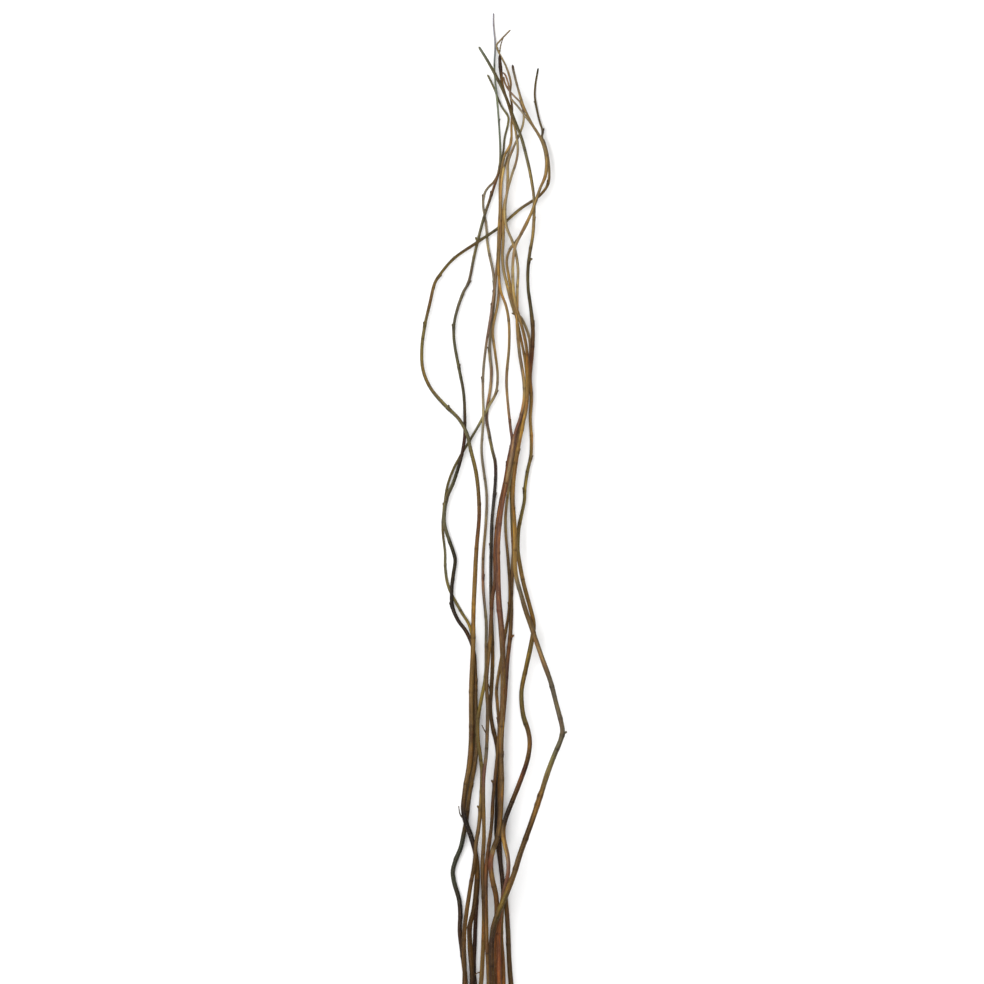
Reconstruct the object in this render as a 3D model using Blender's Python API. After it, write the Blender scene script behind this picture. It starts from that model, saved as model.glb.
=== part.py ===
"""Eleven long cut stems of curly willow, lying together on a table as one loose bunch.

Lengths are in millimetres until the meshes are made, in metres. X runs across the bunch, Y along
it from the cut butts to the tips, and Z is up from the table. Each stem is read from the photo as
the bends of its centre line and its thickness along it. Its height follows from its own gentle
curl and from being laid, as a stiff rod, on the table and on the stems laid before it.
"""

import math

import bpy
import numpy as np

MM = 0.001
SIDES = 8  # a stem's facets, with an edge along its top and one along its underside
SAG = 0.33  # how far a stem's straight stretches may stray from the curve
SHORTEST_STRETCH = 5.0
LONGEST_STRETCH = 28.0
GAP = 0.3  # left between two stems where one lies on the other
PRESSED = 0.4  # depth of the small flats where a stem rests on the table
STIFFNESS = 1.5e8  # bending stiffness over weight per length: how little a laid stem sags

# How buds, blunt stubs and side twigs are shaped.
SPUR_SIDES = 6
BUD_LENGTH = 3.0  # beyond the bark
BUD_RADIUS = 1.25
BUD_LEAN = 58.0  # degrees that a bud leans towards the stem's tip
STUB_LENGTH = 3.4
STUB_RADIUS = 1.6
STUB_LEAN = 42.0
TWIG_RADIUS = 1.0
TWIG_TIP_RADIUS = 0.55

# Each stem, in the order they are laid, lowest first:
#   bends: its centre line from butt to tip, (x, y)
#   girth: (y, diameter) along it
#   curl: its own rise and fall out of the table's plane: height, length of one wave, y of a low
#         point, and how much its middle stands above its ends
#   spurs: buds and blunt stubs, (kind, x, y, degrees round the stem from its top, + to the right)
#   twigs: side twigs, (bends from their root on the stem, rise of the tip)
STEMS = {
    "stem_01": {
        "bends": [
            (25, -616), (20.5, -560), (18.7, -518), (16.3, -485), (12, -456), (9.3, -434),
            (5.4, -409), (4, -395), (5.2, -355), (6.2, -318), (4.8, -288), (-0.5, -264),
            (-3.4, -240), (-1.7, -212), (-0.4, -170), (-2.2, -120), (-2.7, -80), (-2.3, -40),
            (-1.1, -3), (1.5, 25), (3.2, 52), (2.5, 68), (-1.2, 83), (-5, 103), (-8, 121),
            (-7, 136), (-3.5, 158), (-2, 180), (-4.3, 210), (-1.5, 242), (1.7, 277), (0.3, 303),
            (-6.5, 338), (-8.7, 365), (-12.5, 388), (-12, 398), (-9.7, 406), (-5.5, 412),
            (1, 418.5), (8.8, 434), (13, 458), (14.5, 473), (18.5, 490), (19, 499), (10, 514),
            (1.5, 535), (-7, 552.5),
        ],
        "girth": [
            (-600, 6.0), (-430, 5.4), (-260, 4.8), (-120, 4.2), (0, 3.9), (150, 3.8),
            (290, 3.5), (365, 2.9), (552, 2.4),
        ],
        "curl": (5.0, 330.0, -560.0, 5.0),
        "spurs": [
            ("bud", -12, 398, -80), ("bud", 2, 278, -70), ("bud", -4, 208, -75),
            ("bud", 1.5, 25, 80), ("bud", -2.3, -38, -70), ("bud", 3, -270, 60),
        ],
        "twigs": [([(-3.2, -222), (-5, -213), (-8, -206)], 3)],
    },
    "stem_02": {
        "bends": [
            (-20, -606), (-23.7, -570), (-22.8, -532), (-21, -490), (-19, -446), (-22.3, -419),
            (-28.3, -398), (-33.5, -381), (-34, -362), (-29, -329), (-23.7, -292), (-23.5, -262),
            (-25.3, -220), (-24.6, -175), (-28.5, -140), (-41, -118), (-56, -88), (-59.8, -66),
            (-60.2, -46), (-63.2, -15), (-61, 12), (-56.7, 39), (-48.7, 60.5), (-38, 79.7),
            (-20.2, 109.6), (-5.3, 137.5), (3.5, 154), (5.7, 176), (3.2, 200), (-0.3, 233),
            (5.5, 264), (7.9, 290), (7.2, 318), (9.5, 350), (10.6, 375), (9.8, 398), (12, 427),
            (20, 457), (22.7, 475),
        ],
        "girth": [
            (-600, 5.2), (-300, 4.6), (-120, 3.8), (-50, 3.2), (60, 3.2), (160, 3.4),
            (300, 3.3), (475, 2.5),
        ],
        "curl": (6.0, 410.0, -20.0, 2.0),
        "spurs": [("bud", -23.5, -275, -70), ("bud", -61, 12, -80), ("bud", 3.5, 154, 60)],
        "twigs": [],
    },
    "stem_03": {
        "bends": [
            (-32, -612), (-35, -575), (-39, -543), (-41.5, -520), (-41, -497), (-42.5, -480),
            (-49, -457), (-50.3, -444), (-46.5, -430), (-40.5, -415), (-36.5, -397),
            (-33.3, -380), (-29, -345), (-22.5, -309), (-19.7, -280), (-21.5, -235),
            (-22.3, -195), (-24.5, -168), (-33, -145.5), (-44, -130), (-51, -113), (-51.7, -92),
            (-48.5, -57), (-54.6, -31), (-61, -8), (-57.9, 22), (-50, 41), (-41.5, 67),
            (-36, 94), (-35.2, 120), (-37, 155), (-42.5, 184), (-49, 223), (-48, 245),
            (-37.6, 279), (-30.8, 292), (-23.3, 327), (-11.5, 373), (-2, 402), (7.5, 433),
            (9.2, 450), (6.8, 500), (1.8, 560), (2.6, 590), (0.6, 615), (0.6, 630),
        ],
        "girth": [
            (-600, 5.8), (-400, 5.8), (-250, 5.0), (-120, 4.7), (40, 4.6), (130, 4.0),
            (250, 3.8), (400, 3.6), (480, 2.7), (560, 2.5), (630, 2.1),
        ],
        "curl": (7.0, 380.0, -450.0, 3.0),
        "spurs": [
            ("bud", -3, 402, -70), ("stub", -18.5, 345, -75), ("bud", -31, 291, 75),
            ("bud", -49, 236, -80), ("bud", -42.5, 186, 70), ("bud", -51.5, -112, -80),
            ("bud", -22, -208, 65), ("bud", -28.5, -338, 70),
        ],
        "twigs": [],
    },
    "stem_04": {
        "bends": [
            (-26, -614), (-26.5, -572), (-29, -535), (-29, -513), (-24, -492), (-21, -466),
            (-19.7, -444), (-22, -422), (-28.7, -397), (-34.5, -381), (-37.2, -366),
            (-35.5, -345), (-29.5, -308), (-27.5, -280), (-27.2, -215), (-25, -165),
            (-24.4, -120), (-22.7, -80), (-20.3, -36), (-17.3, 0), (-18.3, 30), (-21.3, 55),
            (-27.7, 82), (-33, 104), (-42.5, 121), (-60.3, 138.7), (-78.6, 160.8), (-87.6, 183),
            (-89, 209), (-85.5, 237), (-79, 266), (-73, 291), (-67.8, 300), (-49, 322),
            (-20.3, 342), (5.5, 359.5), (34, 384), (58.5, 401), (69, 416), (69.5, 443),
            (65, 465), (61.3, 474), (62, 481), (57.3, 498), (52.4, 524), (52.8, 538),
            (56.5, 561),
        ],
        "girth": [
            (-600, 6.2), (-400, 6.0), (-100, 5.6), (0, 4.9), (100, 4.6), (220, 4.1),
            (350, 3.6), (410, 3.5), (500, 2.7), (561, 2.3),
        ],
        "curl": (8.0, 420.0, 210.0, 2.0),
        "spurs": [
            ("bud", -68.5, 299, 80), ("bud", -86, 238, -75), ("bud", 69, 416, -60),
            ("bud", 62, 481, 75), ("bud", -27.3, -263, 75), ("stub", -55, 133, 50),
        ],
        "twigs": [([(-35.5, -380), (-41, -373), (-43, -362)], 2)],
    },
    "stem_05": {
        "bends": [
            (-37, -622), (-35.5, -575), (-36.2, -525), (-33, -494), (-28.7, -465),
            (-23.5, -435), (-21, -408), (-17.5, -385), (-15, -355), (-13.9, -320),
            (-15.7, -302), (-19, -276), (-18.5, -252), (-14, -226), (-9.3, -200), (-8.7, -165),
            (-8.6, -133), (-12.3, -90), (-12.3, -52), (-8.7, -5), (-8.1, 28), (-14.2, 80),
            (-12.1, 121), (-12.6, 172), (-9, 211), (-2, 255), (2, 286), (6, 325), (7, 357),
            (8.6, 385), (9, 420), (14.5, 450), (22.3, 467), (23, 488), (23.8, 510),
            (21.4, 530), (22.3, 541), (16.7, 561), (7, 580), (4.3, 588), (9, 594.5), (22, 608),
        ],
        "girth": [
            (-600, 5.6), (-450, 5.0), (-226, 4.4), (-100, 3.6), (30, 3.3), (150, 3.3),
            (300, 3.5), (450, 3.2), (560, 2.5), (608, 2.1),
        ],
        "curl": (6.0, 360.0, -380.0, 0.0),
        "spurs": [
            ("bud", -12.5, 170, -70), ("bud", -1, 262, -60), ("bud", -12.3, -78, 60),
            ("stub", -16, -367, -70),
        ],
        "twigs": [([(8, 578), (10, 590), (14, 600)], 5)],
    },
    "stem_06": {
        "bends": [
            (-17, -612), (-13.8, -568), (-11.8, -525), (-11.6, -480), (-13, -435),
            (-11.3, -402), (-11.9, -360), (-11.5, -325), (-8.5, -298), (-7.2, -272),
            (-6.7, -240), (-7.8, -204), (-4.5, -165), (-2.3, -128), (-0.8, -104), (2.5, -82),
            (2.5, -48), (4.9, -13), (9.5, 18), (15.8, 48), (19.7, 73), (24, 95), (22.2, 108),
            (18, 148), (17, 172), (20.3, 215), (19.6, 245), (15.8, 264), (9.7, 281),
            (7.4, 302), (6.9, 320), (9.8, 358), (10, 395), (11, 418), (14, 437),
        ],
        "girth": [
            (-600, 5.6), (-402, 5.0), (-280, 4.6), (-200, 4.6), (-50, 4.8), (50, 4.2),
            (110, 3.7), (250, 3.6), (340, 3.2), (437, 2.6),
        ],
        "curl": (5.0, 300.0, -500.0, 2.0),
        "spurs": [("bud", 18.3, 64, -75), ("bud", 23.5, 98, 70)],
        "twigs": [
            ([(-7.2, -274), (-10.5, -268), (-14, -261)], 3),
            ([(-14, -571), (-19, -571), (-23, -574)], 2),
        ],
    },
    "stem_07": {
        "bends": [
            (13.5, -606), (12.6, -560), (10.2, -524), (11.4, -490), (12.6, -467), (9.8, -436),
            (8.2, -400), (8.3, -350), (9, -302), (11, -273), (15, -228), (18, -183),
            (21.3, -153), (22.8, -125), (22.8, -95), (24.3, -68), (25.4, -43), (24.2, -13),
            (23.5, 15), (24, 45), (27.5, 72), (31.5, 98), (37.5, 119), (42.3, 145), (45, 173),
            (46.5, 200), (45.5, 222), (38, 243), (33, 250), (28, 252.5), (24.3, 262),
            (18.5, 285), (13.5, 307), (11.7, 325), (12.9, 342), (13, 368), (14.3, 388),
            (17.6, 405), (18.4, 425), (19, 442), (25.5, 460), (33.5, 478), (38, 492),
            (38, 506), (34, 517), (28, 523.3), (20, 532), (15, 541), (13.3, 549),
        ],
        "girth": [
            (-600, 5.4), (-400, 5.2), (-150, 5.0), (-50, 4.8), (50, 4.4), (170, 4.2),
            (235, 3.4), (400, 3.6), (440, 3.3), (490, 2.7), (549, 2.2),
        ],
        "curl": (6.0, 340.0, 190.0, 0.0),
        "spurs": [("stub", 21.5, -153, 70), ("bud", 28, 252.5, -70)],
        "twigs": [],
    },
    "stem_08": {
        "bends": [
            (-6, -618), (-5.7, -580), (-7.7, -530), (-8.8, -475), (-8.2, -437), (-5.2, -412),
            (-2, -388), (0.5, -348), (5, -302), (7.5, -265), (5.5, -236), (4.4, -218), (8.8, -187),
            (15, -150), (20, -118), (21, -90), (18.8, -55), (16, -22), (15.8, 2), (19, 30),
            (25.3, 66), (30.7, 102), (39, 132), (42.3, 165), (40, 195), (33.5, 228), (26, 265),
            (19.5, 300), (17.2, 318), (20.5, 331.5), (32, 347.5), (42.7, 366), (51.2, 388),
            (58.5, 409), (64.5, 424), (66.2, 443), (61.8, 465), (53, 482), (41.5, 498),
            (31, 511.5), (22, 522.5), (20.8, 531), (18, 544), (14.5, 552), (11.5, 553.8),
            (9, 549),
        ],
        "girth": [
            (-600, 5.2), (-400, 4.8), (-250, 4.0), (-100, 3.8), (-30, 3.7), (100, 3.5),
            (350, 3.5), (430, 3.1), (511, 2.6), (554, 2.1),
        ],
        "curl": (6.0, 380.0, -150.0, 0.0),
        "spurs": [
            ("bud", 7, -256, -60), ("stub", 2, -334, -70), ("bud", 38.5, 131, 70),
        ],
        "twigs": [],
    },
    "stem_09": {
        "bends": [
            (4, -610), (3.2, -568), (3, -530), (4.7, -495), (4, -476), (-1, -452),
            (-2.8, -438), (-2.2, -427), (0.8, -415), (4.8, -404), (7.6, -391), (9.2, -374),
            (10.4, -352), (10.9, -330), (10.2, -295), (11, -262), (12.5, -220), (12.3, -175),
            (10.2, -137), (7.2, -105), (6.2, -68), (6.3, -35), (9.3, -2), (14.3, 28),
            (22, 68), (28, 103), (34.8, 124), (39, 147), (38.3, 170), (33, 205),
            (30.4, 238), (30.4, 283), (31.3, 308), (28, 331), (23.8, 344), (17.5, 360),
            (15, 380), (17.4, 403), (22.6, 423), (29.2, 444), (31, 458), (28.5, 480),
            (21, 508), (12, 538), (10, 553), (8.8, 566), (8.2, 576),
        ],
        "girth": [
            (-600, 6.2), (-430, 6.3), (-300, 6.0), (-120, 7.2), (-60, 6.0), (0, 5.0),
            (100, 4.4), (240, 4.0), (300, 3.4), (400, 3.4), (450, 3.0), (530, 3.2), (560, 4.5),
            (576, 3.5),
        ],
        "curl": (5.0, 400.0, -300.0, 0.0),
        "spurs": [("bud", 10.3, -298, 70)],
        "twigs": [],
    },
    "stem_10": {
        "bends": [
            (8, -620), (7.2, -555), (7.2, -515), (10, -488), (14.5, -466), (18.3, -449),
            (19.2, -436), (17.9, -423), (14.8, -410), (12.8, -400), (12.8, -390), (15.3, -379),
            (25.9, -351.5), (36.7, -324), (43.4, -303), (45.9, -284), (44, -269),
            (37.7, -249), (35.4, -226), (36.2, -214), (41.2, -190), (46.3, -167),
            (50.3, -145), (50.6, -133), (46.5, -115), (38.4, -85), (33.8, -62), (31, -42),
            (32, -17), (36.3, 5), (39.3, 20), (39.7, 33), (43, 56), (47.2, 75), (48, 95),
            (46.6, 122), (48, 150), (46.4, 171), (48.8, 205), (49.9, 230), (47.6, 257),
            (44.1, 283), (43.5, 305), (45.8, 328), (49.6, 350), (51.2, 375), (51, 398),
            (47, 425), (41.5, 450), (35.2, 473), (26.5, 495), (15.3, 525), (6, 545),
            (-5, 565), (-18, 586),
        ],
        "girth": [
            (-600, 6.0), (-430, 5.4), (-365, 6.2), (-300, 5.8), (-225, 5.8), (-150, 5.5),
            (-73, 5.2), (0, 4.6), (60, 4.1), (120, 4.1), (200, 4.8), (245, 4.9), (280, 4.2), (340, 4.0),
            (400, 3.9), (470, 3.8), (550, 3.9), (586, 3.4),
        ],
        "curl": (8.0, 420.0, -290.0, 0.0),
        "spurs": [
            ("stub", 44.5, 318, 70), ("bud", 49.5, 240, 75), ("bud", 46.8, 72, 70),
            ("bud", 39.7, 31, -70),
        ],
        "twigs": [],
    },
    "stem_11": {
        "bends": [
            (-1, -624), (-1.6, -575), (-1.6, -532), (1, -511), (8, -491), (18, -468),
            (26, -447), (33, -424), (41.2, -401), (49, -379.5), (59.3, -349), (69.6, -317),
            (77.2, -297.5), (84.8, -279), (86.8, -269), (85, -257), (79.3, -235),
            (72.2, -208), (61.6, -178), (49.6, -143.5), (41.8, -121), (34.8, -97),
            (29.2, -76), (27.4, -60), (28, -32), (26.5, -4), (24.8, 18), (25.5, 40),
            (29.2, 70), (33.3, 94), (38, 117), (42, 138), (43.3, 165), (43, 192), (41.3, 214),
            (36, 237), (30, 257), (26, 277), (24.7, 300), (25.3, 322), (28, 337), (35, 352),
            (48.7, 380), (59.3, 410), (65.5, 424), (67.8, 441), (66, 456), (59.5, 472),
            (49, 489), (38.8, 510), (31, 535), (25.5, 557), (24.4, 564),
        ],
        "girth": [
            (-600, 6.4), (-424, 7.0), (-340, 6.6), (-290, 6.4), (-245, 5.7), (-180, 6.2),
            (-100, 5.6), (0, 5.0), (100, 4.4), (214, 3.9), (330, 3.8), (410, 3.7),
            (490, 3.3), (535, 3.0), (564, 3.4),
        ],
        "curl": (9.0, 480.0, -270.0, 0.0),
        "spurs": [
            ("stub", 86.5, -273, 80), ("bud", 59.3, -349, -70), ("bud", 31, 80, 70),
        ],
        "twigs": [],
    },
}

# Bark, as the base colour of each stem's middle, and how rough it is.
BARK = {
    "stem_01": ((0.055, 0.036, 0.026), 0.62),
    "stem_02": ((0.145, 0.105, 0.050), 0.60),
    "stem_03": ((0.060, 0.056, 0.034), 0.60),
    "stem_04": ((0.180, 0.110, 0.045), 0.58),
    "stem_05": ((0.145, 0.075, 0.045), 0.60),
    "stem_06": ((0.160, 0.085, 0.040), 0.58),
    "stem_07": ((0.160, 0.130, 0.055), 0.58),
    "stem_08": ((0.120, 0.085, 0.040), 0.60),
    "stem_09": ((0.200, 0.095, 0.038), 0.56),
    "stem_10": ((0.110, 0.065, 0.035), 0.60),
    "stem_11": ((0.170, 0.120, 0.055), 0.56),
}


def clear_scene():
    for obj in list(bpy.data.objects):
        bpy.data.objects.remove(obj, do_unlink=True)


def smooth_path(bends, samples=24):
    """A rounded line through the bends, dense enough to measure along.

    Between two bends it is the centripetal Catmull-Rom curve, which never overshoots a tight
    bend, with the first and last bends mirrored to give the ends a direction.
    """
    p = np.array(bends, float)
    p = np.vstack([2 * p[0] - p[1], p, 2 * p[-1] - p[-2]])
    p0, p1, p2, p3 = p[:-3, None], p[1:-2, None], p[2:-1, None], p[3:, None]

    def knot(a, b):
        return np.sqrt(np.linalg.norm(b - a, axis=-1, keepdims=True))

    t1 = knot(p0, p1)
    t2 = t1 + knot(p1, p2)
    t3 = t2 + knot(p2, p3)
    t = t1 + (t2 - t1) * np.linspace(0, 1, samples, endpoint=False)[None, :, None]
    a1 = (t1 - t) / t1 * p0 + t / t1 * p1
    a2 = (t2 - t) / (t2 - t1) * p1 + (t - t1) / (t2 - t1) * p2
    a3 = (t3 - t) / (t3 - t2) * p2 + (t - t2) / (t3 - t2) * p3
    b1 = (t2 - t) / t2 * a1 + t / t2 * a2
    b2 = (t3 - t) / (t3 - t1) * a2 + (t - t1) / (t3 - t1) * a3
    curve = (t2 - t) / (t2 - t1) * b1 + (t - t1) / (t2 - t1) * b2
    return np.vstack([curve.reshape(-1, p.shape[1]), p[-2]])


def rings_along(path):
    """Ring centres on the path, close together where it bends and far apart where it is straight."""
    step = np.linalg.norm(np.diff(path, axis=0), axis=1)
    run = np.concatenate([[0], np.cumsum(step)])
    even = np.arange(0, run[-1], 2.0)
    x, y = np.interp(even, run, path[:, 0]), np.interp(even, run, path[:, 1])
    heading = np.unwrap(np.arctan2(np.gradient(y), np.gradient(x)))
    bend = np.abs(np.gradient(heading, even))
    bend = np.convolve(bend, np.ones(5) / 5, mode="same") + 1e-6
    stretch = np.clip(np.sqrt(8 * SAG / bend), SHORTEST_STRETCH, LONGEST_STRETCH)
    count = np.concatenate([[0], np.cumsum(np.diff(even) / stretch[:-1])])
    at = np.interp(np.linspace(0, count[-1], int(math.ceil(count[-1])) + 1), count, even)
    at[-1] = run[-1]
    return np.column_stack([np.interp(at, run, path[:, 0]), np.interp(at, run, path[:, 1])])


def girth_at(stem, y):
    """The stem's radius at y, from its diameters."""
    ys, diameters = np.array(stem["girth"], float).T
    return np.interp(y, ys, diameters) / 2


def own_height(stem, y):
    """The stem's own rise and fall: one long wave, with its middle higher than its ends."""
    height, length, low, bow = stem["curl"]
    wave = height * (1 - np.cos(2 * np.pi * (y - low) / length)) / 2
    return wave + bow * (1 - (y / 620.0) ** 2)


def along(points, radii, spacing=1.0):
    """Points and radii close together along straight stretches between rings."""
    step = np.linalg.norm(np.diff(points[:, :2], axis=0), axis=1)
    run = np.concatenate([[0], np.cumsum(step)])
    at = np.append(np.arange(0, run[-1], spacing), run[-1])
    fine = np.column_stack([np.interp(at, run, points[:, k]) for k in range(3)])
    return fine, np.interp(at, run, radii)


def lowest_allowed(fine, radii, laid):
    """The height that each point needs so as to clear the table and the stems under it."""
    need = radii - PRESSED
    for under, under_radii in laid:
        for first in range(0, len(fine), 200):
            here = slice(first, first + 200)
            near = (under[:, 1] > fine[here, 1].min() - 10) & (
                under[:, 1] < fine[here, 1].max() + 10
            )
            if not near.any():
                continue
            apart = fine[here, None, :2] - under[None, near, :2]
            reach = radii[here, None] + under_radii[None, near] + GAP
            over = reach**2 - (apart**2).sum(axis=2)
            clear = under[None, near, 2] + np.sqrt(np.maximum(over, 0))
            clear = np.where(over > 0, clear, -1000.0).max(axis=1)
            need[here] = np.maximum(need[here], clear)
    return need


def settle(own, need, spacing):
    """Heights of a springy rod of its own shape once it lies on what it needs to clear.

    It is the rod that minimises STIFFNESS / 2 * (bending away from its own shape)^2 + height, at
    no point lower than needed, found by taking the bending and the support in turn.
    """
    bend = np.diff(np.eye(len(own)), 2, axis=0) / spacing**2
    stiff = STIFFNESS * bend.T @ bend
    solve = np.linalg.inv(stiff + np.eye(len(own)))
    drive = stiff @ own - 1.0
    held = need.copy()
    push = np.zeros(len(own))
    for _ in range(4000):
        rod = solve @ (drive + held - push)
        held = np.maximum(need, rod + push)
        push += rod - held
    return rod


def lay(flat, radii, own, laid):
    """Centres of a stem once it lies on the table and on the stems laid before it.

    The rod is worked out at even places along the stem, each of which clears what lies within one
    place of it. A last lift of the whole stem, of a fraction of a millimetre, makes it clear all.
    """
    points = np.column_stack([flat, own])
    fine, fine_radii = along(points, radii)
    need = lowest_allowed(fine, fine_radii, laid)
    run = np.concatenate([[0], np.cumsum(np.linalg.norm(np.diff(flat, axis=0), axis=1))])
    places = np.linspace(0, run[-1], int(run[-1] / 8))
    spacing = places[1]
    fine_run = np.append(np.arange(0, run[-1], 1.0), run[-1])
    near = np.abs(places[:, None] - fine_run[None]) <= spacing
    wanted = np.where(near, need[None], -1000.0).max(axis=1)
    rod = settle(np.interp(places, run, own), wanted, spacing)
    points[:, 2] = np.interp(run, places, rod)
    fine, fine_radii = along(points, radii)
    short = (lowest_allowed(fine, fine_radii, laid) - fine[:, 2]).max()
    points[:, 2] += short
    fine[:, 2] += short
    return points, fine, fine_radii


def tube(name, centres, radii, sides):
    """A closed tube round the centres with flat ends. Every ring has a corner at its top.

    Corner k of a ring is centre + radius * (cos(turn) * up + sin(turn) * right), turn = 360 k / sides.
    """
    centres = np.asarray(centres, float)
    ahead = np.gradient(centres, axis=0)
    ahead /= np.linalg.norm(ahead, axis=1, keepdims=True)
    right = np.cross(ahead, [0.0, 0.0, 1.0])
    right /= np.linalg.norm(right, axis=1, keepdims=True)
    up = np.cross(right, ahead)
    turn = 2 * np.pi * np.arange(sides) / sides
    ring = np.cos(turn)[None, :, None] * up[:, None] + np.sin(turn)[None, :, None] * right[:, None]
    corners = centres[:, None] + np.asarray(radii, float)[:, None, None] * ring
    rings = len(centres)
    index = np.arange(rings * sides).reshape(rings, sides)
    here, there = index[:-1], index[1:]
    around = np.roll(index, -1, axis=1)
    quads = np.stack([here, around[:-1], around[1:], there], axis=2).reshape(-1, 4)
    faces = quads.tolist() + [index[0, ::-1].tolist(), index[-1].tolist()]
    mesh = bpy.data.meshes.new(name)
    mesh.from_pydata((corners.reshape(-1, 3) * MM).tolist(), [], faces)
    mesh.update()
    obj = bpy.data.objects.new(name, mesh)
    bpy.context.scene.collection.objects.link(obj)
    return obj


def nearest_ring(centres, x, y):
    """The point of the stem's line nearest to (x, y), its direction there and its place."""
    places = np.arange(0, len(centres) - 1, 0.05)
    fine = np.column_stack([np.interp(places, range(len(centres)), line) for line in centres.T])
    place = np.hypot(fine[:, 0] - x, fine[:, 1] - y).argmin()
    place = min(max(place, 1), len(fine) - 2)
    ahead = fine[place + 1] - fine[place - 1]
    return fine[place], ahead / np.linalg.norm(ahead), place * 0.05


def spur(name, centres, radii, kind, x, y, turn):
    """A bud or a blunt stub: a short spur from the stem's heart, leaning towards its tip."""
    root, ahead, place = nearest_ring(centres, x, y)
    radius = np.interp(place, np.arange(len(radii)), radii)
    right = np.cross(ahead, [0.0, 0.0, 1.0])
    right /= np.linalg.norm(right)
    up = np.cross(right, ahead)
    out = math.cos(math.radians(turn)) * up + math.sin(math.radians(turn)) * right
    blunt = kind == "stub"
    lean = math.radians(STUB_LEAN if blunt else BUD_LEAN)
    thick = min(STUB_RADIUS if blunt else BUD_RADIUS, 0.72 * radius)
    beyond = STUB_LENGTH if blunt else BUD_LENGTH
    way = math.cos(lean) * out + math.sin(lean) * ahead
    bark = radius / math.cos(lean)
    reach = np.array([0.0, bark + 0.35 * beyond, bark + beyond])
    thin = thick * np.array([1.0, 0.95, 0.85 if blunt else 0.5])
    return tube(name, root + reach[:, None] * way, thin, SPUR_SIDES)


def twig(name, centres, bends, rise):
    """A thin side twig from the stem's heart through its bends, rising towards its tip."""
    root, _, _ = nearest_ring(centres, *bends[0])
    heights = root[2] + rise * np.linspace(0, 1, len(bends)) ** 1.5
    line = np.column_stack([np.array(bends, float), heights])
    line[0] = root
    radii = np.linspace(TWIG_RADIUS, TWIG_TIP_RADIUS, len(bends))
    return tube(name, line, radii, SPUR_SIDES)


def apply_boolean(obj, operation, others):
    """Joins the others to the object, or cuts them from it, and removes them."""
    group = bpy.data.collections.new(obj.name + "_others")
    bpy.context.scene.collection.children.link(group)
    for other in others:
        bpy.context.scene.collection.objects.unlink(other)
        group.objects.link(other)
    modifier = obj.modifiers.new("join", "BOOLEAN")
    modifier.operation = operation
    modifier.operand_type = "COLLECTION"
    modifier.collection = group
    bpy.context.view_layer.objects.active = obj
    bpy.ops.object.modifier_apply(modifier=modifier.name)
    for other in others:
        bpy.data.objects.remove(other, do_unlink=True)
    bpy.data.collections.remove(group)


def table_slab():
    """A block whose top is the table, to cut the small flats on which stems rest."""
    mesh = bpy.data.meshes.new("slab")
    x, y, deep = 0.3, 0.8, 0.02
    corners = [(i * x, j * y, k * deep) for i in (-1, 1) for j in (-1, 1) for k in (-1, 0)]
    faces = [(0, 1, 3, 2), (4, 6, 7, 5), (0, 4, 5, 1), (2, 3, 7, 6), (0, 2, 6, 4), (1, 5, 7, 3)]
    mesh.from_pydata(corners, [], faces)
    mesh.update()
    slab = bpy.data.objects.new("slab", mesh)
    bpy.context.scene.collection.objects.link(slab)
    return slab


def paint(obj, colour, roughness):
    material = bpy.data.materials.new(obj.name + "_bark")
    material.use_nodes = True
    shader = material.node_tree.nodes["Principled BSDF"]
    shader.inputs["Base Color"].default_value = (*colour, 1.0)
    shader.inputs["Roughness"].default_value = roughness
    shader.inputs["Metallic"].default_value = 0.0
    obj.data.materials.clear()
    obj.data.materials.append(material)
    obj.data.shade_smooth()


def build():
    clear_scene()
    laid = []
    for name, stem in STEMS.items():
        flat = rings_along(smooth_path(stem["bends"]))
        radii = girth_at(stem, flat[:, 1])
        own = own_height(stem, flat[:, 1])
        points, fine, fine_radii = lay(flat, radii, own, laid)
        laid.append((fine, fine_radii))
        obj = tube(name, points, radii, SIDES)
        extras = [
            spur(f"{name}_spur_{k}", points, radii, *what)
            for k, what in enumerate(stem["spurs"])
        ]
        extras += [
            twig(f"{name}_twig_{k}", points, *what) for k, what in enumerate(stem["twigs"])
        ]
        if extras:
            apply_boolean(obj, "UNION", extras)
        if (points[:, 2] - radii).min() < 0:
            apply_boolean(obj, "DIFFERENCE", [table_slab()])
        paint(obj, *BARK[name])
    return laid


build()
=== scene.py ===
import math

import bpy
import numpy as np
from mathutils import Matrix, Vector
from mathutils.bvhtree import BVHTree


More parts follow.
